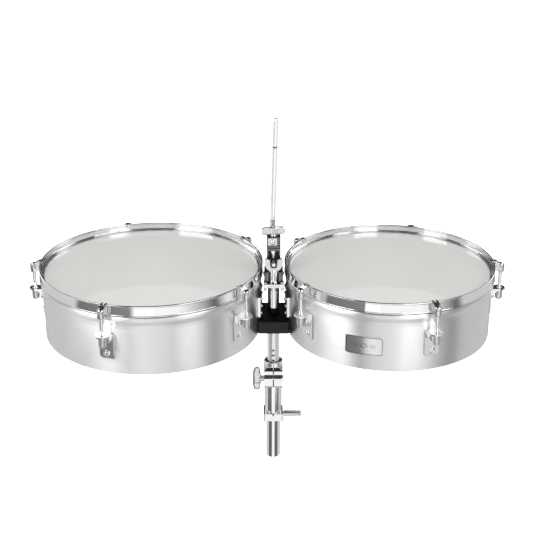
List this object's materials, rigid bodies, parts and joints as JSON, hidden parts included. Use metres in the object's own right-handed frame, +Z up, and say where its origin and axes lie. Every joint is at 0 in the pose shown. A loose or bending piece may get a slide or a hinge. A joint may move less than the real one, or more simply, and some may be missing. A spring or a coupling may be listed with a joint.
{
  "type": "timbales",
  "caption": "Two shallow open-bottomed metal drums on a stand head with a height clamp, drum brackets and a tilting accessory rod.",
  "frame": {"origin": "middle of the lower tube's bottom end face, on its end plug", "axes": "+Z up along the pole, +X towards the smaller drum, +Y towards the player (badge faces -Y)"},
  "size_m": [0.8476, 0.42, 0.652],
  "materials": {
    "brushed_shell": "satin brushed",
    "chrome": "polished",
    "satin_rod": "satin",
    "head_film": "frosted translucent film",
    "hoop_channel": "satin",
    "badge_plate": "brushed, engraved border",
    "black_paint": "satin black",
    "black_nylon": "moulded"
  },
  "bodies": {
    "stand_base": {"tube_end_plug": "black_nylon", "lower_tube": "chrome", "memory_lock_collar": "chrome", "height_clamp": "chrome"},
    "memory_bolt": {"memory_lock_bolt": "chrome"},
    "clamp_bolt": {"clamp_wing_bolt": "chrome"},
    "bushing": {"clamp_bushing": "black_nylon"},
    "pole_and_head": {"pole": "chrome", "head_block": "black_paint", "neck_post": "black_paint", "cross_bar": "chrome", "post_clamp": "chrome"},
    "left_drum": {"left_shell": "brushed_shell", "left_head_film": "head_film", "left_flesh_hoop": "hoop_channel", "left_counterhoop": "chrome", "left_shell_bracket": "chrome", "left_lug_bracket_1": "chrome", "left_hook_rod_1": "chrome", "left_lug_bracket_2": "chrome", "left_hook_rod_2": "chrome", "left_lug_bracket_3": "chrome", "left_hook_rod_3": "chrome", "left_lug_bracket_4": "chrome", "left_hook_rod_4": "chrome", "left_lug_bracket_5": "chrome", "left_hook_rod_5": "chrome"},
    "left_nut_1": {"left_tension_nut_1": "chrome"},
    "left_nut_2": {"left_tension_nut_2": "chrome"},
    "left_nut_3": {"left_tension_nut_3": "chrome"},
    "left_nut_4": {"left_tension_nut_4": "chrome"},
    "left_nut_5": {"left_tension_nut_5": "chrome"},
    "right_drum": {"right_shell": "brushed_shell", "right_head_film": "head_film", "right_flesh_hoop": "hoop_channel", "right_counterhoop": "chrome", "right_shell_bracket": "chrome", "right_lug_bracket_1": "chrome", "right_hook_rod_1": "chrome", "right_lug_bracket_2": "chrome", "right_hook_rod_2": "chrome", "right_lug_bracket_3": "chrome", "right_hook_rod_3": "chrome", "right_lug_bracket_4": "chrome", "right_hook_rod_4": "chrome", "right_lug_bracket_5": "chrome", "right_hook_rod_5": "chrome", "badge": "badge_plate"},
    "right_nut_1": {"right_tension_nut_1": "chrome"},
    "right_nut_2": {"right_tension_nut_2": "chrome"},
    "right_nut_3": {"right_tension_nut_3": "chrome"},
    "right_nut_4": {"right_tension_nut_4": "chrome"},
    "right_nut_5": {"right_tension_nut_5": "chrome"},
    "post": {"spike_post": "chrome", "tilter_lower": "chrome"},
    "tilter_head": {"tilter_upper": "chrome"},
    "tilter_nut": {"tilter_wing_nut": "chrome"},
    "rod_clamp": {"rod_block": "chrome"},
    "rod_bolt": {"rod_wing_bolt": "chrome"},
    "rod": {"accessory_rod": "satin_rod"}
  },
  "joints": [
    {"name": "memory_bolt_turn", "type": "hinge", "parent": "stand_base", "child": "memory_bolt", "pos_m": [0.018, 0, 0.0866], "axis": [1, 0, 0], "continuous": true},
    {"name": "clamp_bolt_turn", "type": "hinge", "parent": "stand_base", "child": "clamp_bolt", "pos_m": [-0.02, -0.0225, 0.171], "axis": [1, 0, 0], "continuous": true},
    {"name": "pole_swivel", "type": "hinge", "parent": "stand_base", "child": "bushing", "pos_m": [0, 0, 0.17], "axis": [0, 0, 1], "continuous": true},
    {"name": "pole_height", "type": "slide", "parent": "bushing", "child": "pole_and_head", "axis": [0, 0, 1], "range_m": [-0.055, 0.055]},
    {"name": "left_drum_lift", "type": "slide", "parent": "pole_and_head", "child": "left_drum", "axis": [0, 0, 1], "range_m": [0, 0.05]},
    {"name": "left_nut_1_turn", "type": "hinge", "parent": "left_drum", "child": "left_nut_1", "pos_m": [-0.4251, 0, 0.33], "axis": [0, 0, 1], "continuous": true},
    {"name": "left_nut_2_turn", "type": "hinge", "parent": "left_drum", "child": "left_nut_2", "pos_m": [-0.28062, -0.19887, 0.33], "axis": [0, 0, 1], "continuous": true},
    {"name": "left_nut_3_turn", "type": "hinge", "parent": "left_drum", "child": "left_nut_3", "pos_m": [-0.04683, -0.12291, 0.33], "axis": [0, 0, 1], "continuous": true},
    {"name": "left_nut_4_turn", "type": "hinge", "parent": "left_drum", "child": "left_nut_4", "pos_m": [-0.04683, 0.12291, 0.33], "axis": [0, 0, 1], "continuous": true},
    {"name": "left_nut_5_turn", "type": "hinge", "parent": "left_drum", "child": "left_nut_5", "pos_m": [-0.28062, 0.19887, 0.33], "axis": [0, 0, 1], "continuous": true},
    {"name": "right_drum_lift", "type": "slide", "parent": "pole_and_head", "child": "right_drum", "axis": [0, 0, 1], "range_m": [0, 0.05]},
    {"name": "right_nut_1_turn", "type": "hinge", "parent": "right_drum", "child": "right_nut_1", "pos_m": [0.4029, 0, 0.33], "axis": [0, 0, 1], "continuous": true},
    {"name": "right_nut_2_turn", "type": "hinge", "parent": "right_drum", "child": "right_nut_2", "pos_m": [0.26615, 0.18821, 0.33], "axis": [0, 0, 1], "continuous": true},
    {"name": "right_nut_3_turn", "type": "hinge", "parent": "right_drum", "child": "right_nut_3", "pos_m": [0.0449, 0.11632, 0.33], "axis": [0, 0, 1], "continuous": true},
    {"name": "right_nut_4_turn", "type": "hinge", "parent": "right_drum", "child": "right_nut_4", "pos_m": [0.0449, -0.11632, 0.33], "axis": [0, 0, 1], "continuous": true},
    {"name": "right_nut_5_turn", "type": "hinge", "parent": "right_drum", "child": "right_nut_5", "pos_m": [0.26615, -0.18821, 0.33], "axis": [0, 0, 1], "continuous": true},
    {"name": "post_height", "type": "slide", "parent": "pole_and_head", "child": "post", "axis": [0, 0, 1], "range_m": [0, 0.05]},
    {"name": "tilter_tilt", "type": "hinge", "parent": "post", "child": "tilter_head", "pos_m": [0, -0.019, 0.4], "axis": [0, 1, 0], "range_deg": [-35, 35]},
    {"name": "tilter_nut_turn", "type": "hinge", "parent": "post", "child": "tilter_nut", "pos_m": [0, -0.034, 0.4], "axis": [0, 1, 0], "continuous": true},
    {"name": "rod_clamp_turn", "type": "hinge", "parent": "tilter_head", "child": "rod_clamp", "pos_m": [0, -0.019, 0.437], "axis": [0, 0, 1], "continuous": true},
    {"name": "rod_bolt_turn", "type": "hinge", "parent": "rod_clamp", "child": "rod_bolt", "pos_m": [0, -0.019, 0.457], "axis": [0, 0, 1], "continuous": true},
    {"name": "rod_lean", "type": "hinge", "parent": "rod_clamp", "child": "rod", "pos_m": [-0.002, -0.019, 0.4387], "axis": [0, 1, 0], "range_deg": [-75, 75]}
  ]
}
